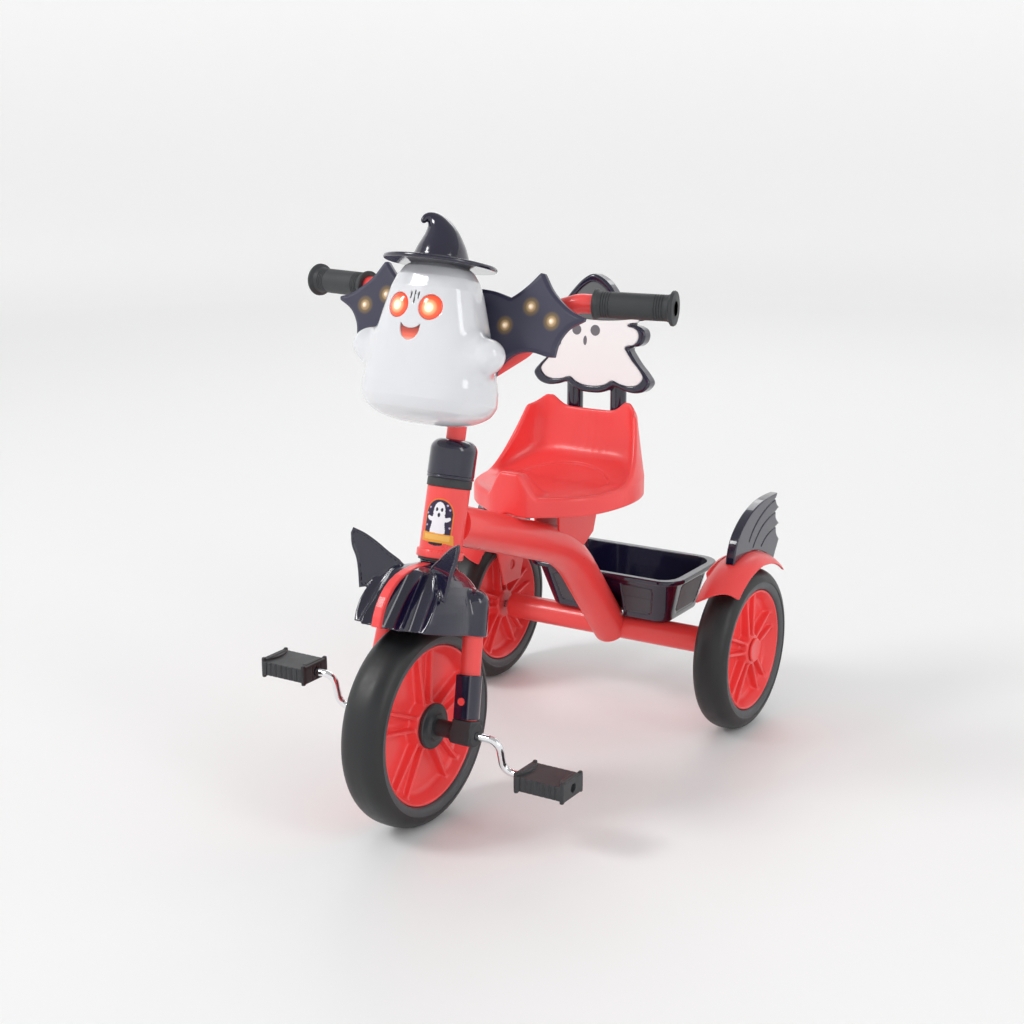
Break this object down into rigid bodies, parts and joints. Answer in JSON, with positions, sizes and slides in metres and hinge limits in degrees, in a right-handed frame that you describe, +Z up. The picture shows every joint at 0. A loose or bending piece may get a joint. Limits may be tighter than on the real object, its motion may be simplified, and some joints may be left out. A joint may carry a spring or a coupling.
{
  "type": "children's tricycle",
  "caption": "Pedal tricycle with a ghost lamp figure on the handlebar, bucket seat, raised back board, rear basket and winged mudguards.",
  "frame": {"origin": "on the floor, midway between the front tyre's front and the rear tyres' back, in the middle of the width", "axes": "+Z up, -Y is the riding direction, +X to the rider's left"},
  "size_m": [0.5082, 0.722, 0.7193],
  "materials": {
    "red_paint": "gloss",
    "red_plastic": "satin gloss",
    "navy_plastic": "gloss",
    "dark_plastic": "matte",
    "grip_rubber": "matte",
    "tyre_foam": "satin",
    "ghost_plastic": "gloss",
    "panel_white": "satin",
    "lamp_warm": "lit lens",
    "eye_glow": "lit lens",
    "mouth_glow": "lit lens",
    "board_green": "matte",
    "zinc_steel": "zinc plated",
    "chrome_rod": "polished"
  },
  "bodies": {
    "frame": {"head_tube": "red_paint", "main_tube": "red_paint", "axle_tube": "red_paint", "head_bushes": "dark_plastic", "seat": "red_plastic", "seat_bracket": "red_paint", "frame_bolts": "zinc_steel", "backrest_frame": "navy_plastic", "backrest_panel": "panel_white", "backrest_posts": "navy_plastic", "basket": "navy_plastic", "mudguard_left": "red_plastic", "mudguard_right": "red_plastic", "fin_left": "navy_plastic", "fin_right": "navy_plastic", "rear_axle": "zinc_steel", "axle_bushes": "dark_plastic", "axle_caps": "zinc_steel"},
    "steering": {"fork_crown": "red_paint", "fork_leg_left": "red_paint", "fork_leg_right": "red_paint", "stem": "red_paint", "handlebar": "red_paint", "grip_left": "grip_rubber", "grip_right": "grip_rubber", "head_cap": "navy_plastic", "front_fender": "navy_plastic", "fender_stripe": "red_plastic", "fork_cover_left": "navy_plastic", "fork_cover_right": "navy_plastic", "axle_block_left": "dark_plastic", "axle_block_right": "dark_plastic", "ghost_front": "ghost_plastic", "ghost_back": "ghost_plastic", "ghost_clamp": "dark_plastic", "ghost_screws": "zinc_steel", "eye_lenses": "eye_glow", "mouth_lens": "mouth_glow", "witch_hat": "navy_plastic", "wing_left": "navy_plastic", "wing_right": "navy_plastic", "wing_lamps": "lamp_warm", "light_board": "board_green", "battery_box": "dark_plastic"},
    "front_wheel": {"front_tyre": "tyre_foam", "front_rim": "red_plastic", "front_hub": "dark_plastic", "crank_axle": "chrome_rod"},
    "rear_wheel_left": {"rear_tyre_left": "tyre_foam", "rear_rim_left": "red_plastic", "hub_cover_left": "red_plastic"},
    "rear_wheel_right": {"rear_tyre_right": "tyre_foam", "rear_rim_right": "red_plastic", "hub_cover_right": "red_plastic"},
    "pedal_left": {"pedal_left": "dark_plastic"},
    "pedal_right": {"pedal_right": "dark_plastic"},
    "fork_button_left": {"fork_button_left": "red_plastic"},
    "fork_button_right": {"fork_button_right": "red_plastic"},
    "release_button": {"release_button": "red_plastic"},
    "power_button": {"power_button": "red_plastic"}
  },
  "joints": [
    {"name": "steering_turn", "type": "hinge", "parent": "frame", "child": "steering", "pos_m": [0, -0.236, 0.125], "axis": [0, 0.2588, 0.9659], "range_deg": [-40, 40]},
    {"name": "front_wheel_spin", "type": "hinge", "parent": "steering", "child": "front_wheel", "pos_m": [0, -0.236, 0.125], "axis": [1, 0, 0], "continuous": true},
    {"name": "pedal_left_spin", "type": "hinge", "parent": "front_wheel", "child": "pedal_left", "pos_m": [0.174, -0.22513, 0.08443], "axis": [1, 0, 0], "continuous": true},
    {"name": "pedal_right_spin", "type": "hinge", "parent": "front_wheel", "child": "pedal_right", "pos_m": [-0.174, -0.24687, 0.16557], "axis": [1, 0, 0], "continuous": true},
    {"name": "rear_wheel_left_spin", "type": "hinge", "parent": "frame", "child": "rear_wheel_left", "pos_m": [0.197, 0.25, 0.111], "axis": [1, 0, 0], "continuous": true},
    {"name": "rear_wheel_right_spin", "type": "hinge", "parent": "frame", "child": "rear_wheel_right", "pos_m": [-0.197, 0.25, 0.111], "axis": [1, 0, 0], "continuous": true},
    {"name": "fork_button_left_press", "type": "slide", "parent": "steering", "child": "fork_button_left", "axis": [0, 0.9659, -0.2588], "range_m": [0, 0.003], "stiffness_N_per_m": 600, "springref_m": -0.002},
    {"name": "fork_button_right_press", "type": "slide", "parent": "steering", "child": "fork_button_right", "axis": [0, 0.9659, -0.2588], "range_m": [0, 0.003], "stiffness_N_per_m": 600, "springref_m": -0.002},
    {"name": "release_button_press", "type": "slide", "parent": "steering", "child": "release_button", "axis": [0, -0.9659, 0.2588], "range_m": [0, 0.0025], "stiffness_N_per_m": 800, "springref_m": -0.002},
    {"name": "power_button_press", "type": "slide", "parent": "steering", "child": "power_button", "axis": [0, -0.9659, 0.2588], "range_m": [0, 0.002], "stiffness_N_per_m": 500, "springref_m": -0.002}
  ]
}
